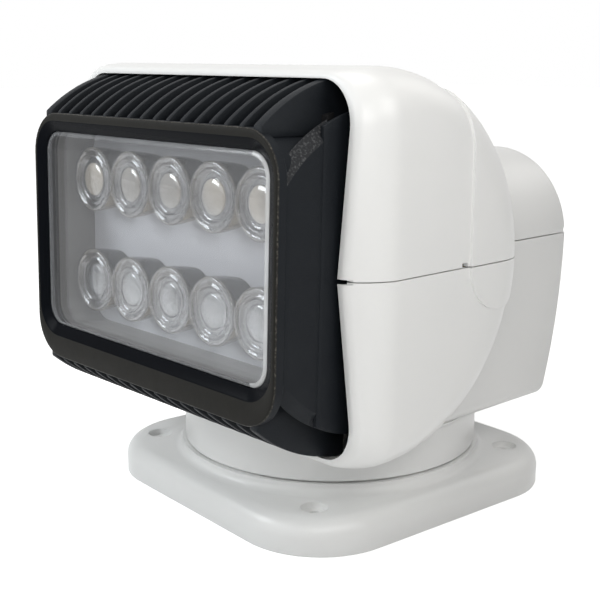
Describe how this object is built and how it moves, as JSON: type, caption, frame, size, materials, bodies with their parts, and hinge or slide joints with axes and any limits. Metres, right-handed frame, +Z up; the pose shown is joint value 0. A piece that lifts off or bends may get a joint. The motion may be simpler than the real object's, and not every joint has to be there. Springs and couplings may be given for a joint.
{
  "type": "marine searchlight",
  "caption": "Remote-control marine searchlight: finned lamp with a clear window tilting in a two-part hood, on a head that turns on a square screw-down foot.",
  "frame": {"origin": "on the pan axis, in the plane of the foot's underside", "axes": "+Z up along the pan axis, -Y the way the lamp looks, +X to the side of the tilt gear"},
  "size_m": [0.2104, 0.205, 0.205],
  "materials": {
    "shell_plastic": "semi-gloss off-white moulding",
    "lamp_casting": "matte black coated casting",
    "steel": "bright stainless",
    "spindle_metal": "machined",
    "brass": "machined",
    "acetal": "natural, satin",
    "rubber": "matte black",
    "clear_cover": "clear moulded cover",
    "clear_optic": "clear moulded lens",
    "tray_plastic": "light grey",
    "board_face": "white coated board",
    "emitter": "yellow phosphor",
    "circuit": "green laminate",
    "component": "black moulded"
  },
  "bodies": {
    "base": {"base_plate": "shell_plastic", "pan_spindle": "spindle_metal", "spindle_screws": "steel", "pan_gear": "acetal", "gear_screws": "steel", "thrust_washer": "acetal", "clamp_washer": "steel", "spindle_nut": "brass", "pan_seal": "rubber", "cable_grommet": "rubber"},
    "head": {"lower_housing": "shell_plastic", "upper_housing": "shell_plastic", "housing_screws": "steel", "pan_bush": "acetal", "tilt_bush_left": "acetal", "tilt_bush_right": "acetal", "pan_gearmotor": "steel", "pan_motor_screws": "steel", "tilt_gearmotor": "steel", "tilt_bracket": "steel", "tilt_motor_screws": "steel", "bracket_screws": "steel", "control_board": "circuit", "board_components": "component", "board_screws": "steel"},
    "pan_drive": {"pan_shaft": "steel", "pan_pinion": "brass"},
    "tilt_drive": {"tilt_shaft": "steel", "tilt_pinion": "brass"},
    "lamp": {"lamp_housing": "lamp_casting", "lamp_cover": "lamp_casting", "cover_screws": "steel", "bezel": "lamp_casting", "bezel_pins": "steel", "lens": "clear_cover", "lens_gasket": "rubber", "optic_tray": "tray_plastic", "led_board": "board_face", "led_emitters": "emitter", "trunnion_left": "steel", "trunnion_right": "steel", "tilt_sector": "acetal", "sector_screws": "steel", "lamp_gland": "rubber", "optic_1": "clear_optic", "optic_2": "clear_optic", "optic_3": "clear_optic", "optic_4": "clear_optic", "optic_5": "clear_optic", "optic_6": "clear_optic", "optic_7": "clear_optic", "optic_8": "clear_optic", "optic_9": "clear_optic", "optic_10": "clear_optic"}
  },
  "joints": [
    {"name": "pan", "type": "hinge", "parent": "base", "child": "head", "pos_m": [0, 0, 0], "axis": [0, 0, 1], "range_deg": [-185, 185]},
    {"name": "tilt", "type": "hinge", "parent": "head", "child": "lamp", "pos_m": [0, -0.061, 0.1235], "axis": [-1, 0, 0], "range_deg": [-61.5, 73.5]},
    {"name": "pan_pinion_spin", "type": "hinge", "parent": "head", "child": "pan_drive", "pos_m": [0, 0.052, 0.0235], "axis": [0, 0, 1], "range_deg": [-620, 620]},
    {"name": "tilt_pinion_spin", "type": "hinge", "parent": "head", "child": "tilt_drive", "pos_m": [0.0825, -0.001, 0.1235], "axis": [-1, 0, 0], "range_deg": [-300, 300]}
  ],
  "couplings": [
    {"joint": "pan_pinion_spin", "follows": "pan", "ratio": 3.3333},
    {"joint": "tilt_pinion_spin", "follows": "tilt", "ratio": -4}
  ]
}
